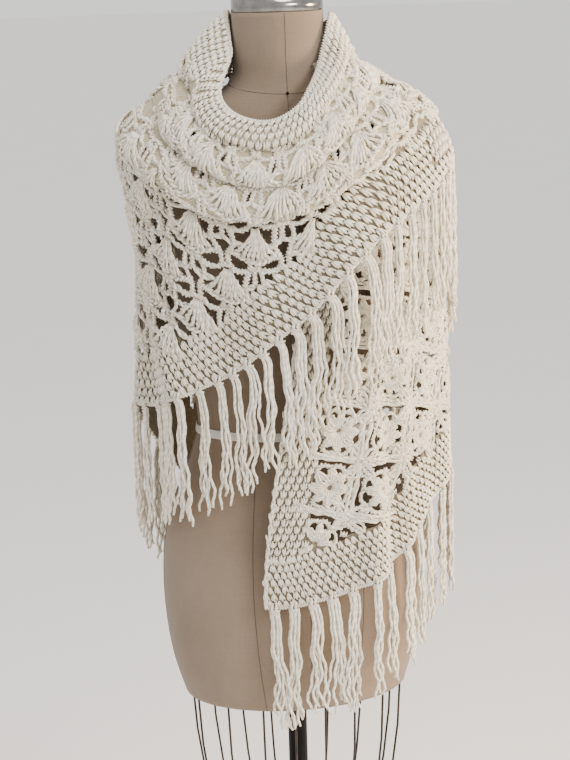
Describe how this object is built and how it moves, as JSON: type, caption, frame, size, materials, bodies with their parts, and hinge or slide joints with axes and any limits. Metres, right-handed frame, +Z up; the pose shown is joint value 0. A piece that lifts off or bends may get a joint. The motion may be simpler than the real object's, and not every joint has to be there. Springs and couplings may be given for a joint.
{
  "type": "crochet shawl on limbless dress form",
  "caption": "Ivory crochet triangle shawl with lace motifs and a long fringe, wound as a cowl and wrap round a linen limbless dress form on a pole stand",
  "frame": {"origin": "foot of the pole: the centre of the underside of the round base, on the floor", "axes": "+Z up along the pole, the dress form faces -Y, +X to its left (the viewer's right)"},
  "size_m": [0.52, 0.52, 1.5838],
  "materials": {
    "yarn": "soft matt crochet yarn",
    "linen": "matt stretched linen",
    "tape": "matt cotton twill",
    "chrome_cap": "polished",
    "black_metal": "satin black enamel",
    "cage_wire": "dark satin"
  },
  "bodies": {
    "root": {"shawl_collar_fold": "yarn", "shawl_middle_fold": "yarn", "shawl_lower_fold": "yarn", "shawl_front": "yarn", "shawl_back": "yarn", "shawl_lower_panel": "yarn", "shawl_under_shoulder": "yarn", "shawl_thrown_end": "yarn", "fringe_front": "yarn", "fringe_back": "yarn", "fringe_lower_panel": "yarn", "fringe_thrown_end": "yarn", "dress_form": "linen", "neck_cap": "chrome_cap", "waist_tape": "tape", "pole": "black_metal", "base_plate": "black_metal", "cage_foot": "cage_wire", "cage_wire_01": "cage_wire", "cage_wire_02": "cage_wire", "cage_wire_03": "cage_wire", "cage_wire_04": "cage_wire", "cage_wire_05": "cage_wire", "cage_wire_06": "cage_wire", "cage_wire_07": "cage_wire", "cage_wire_08": "cage_wire", "cage_wire_09": "cage_wire", "cage_wire_10": "cage_wire", "cage_wire_11": "cage_wire", "cage_wire_12": "cage_wire", "cage_wire_13": "cage_wire", "cage_wire_14": "cage_wire", "cage_wire_15": "cage_wire", "cage_wire_16": "cage_wire"}
  },
  "joints": []
}
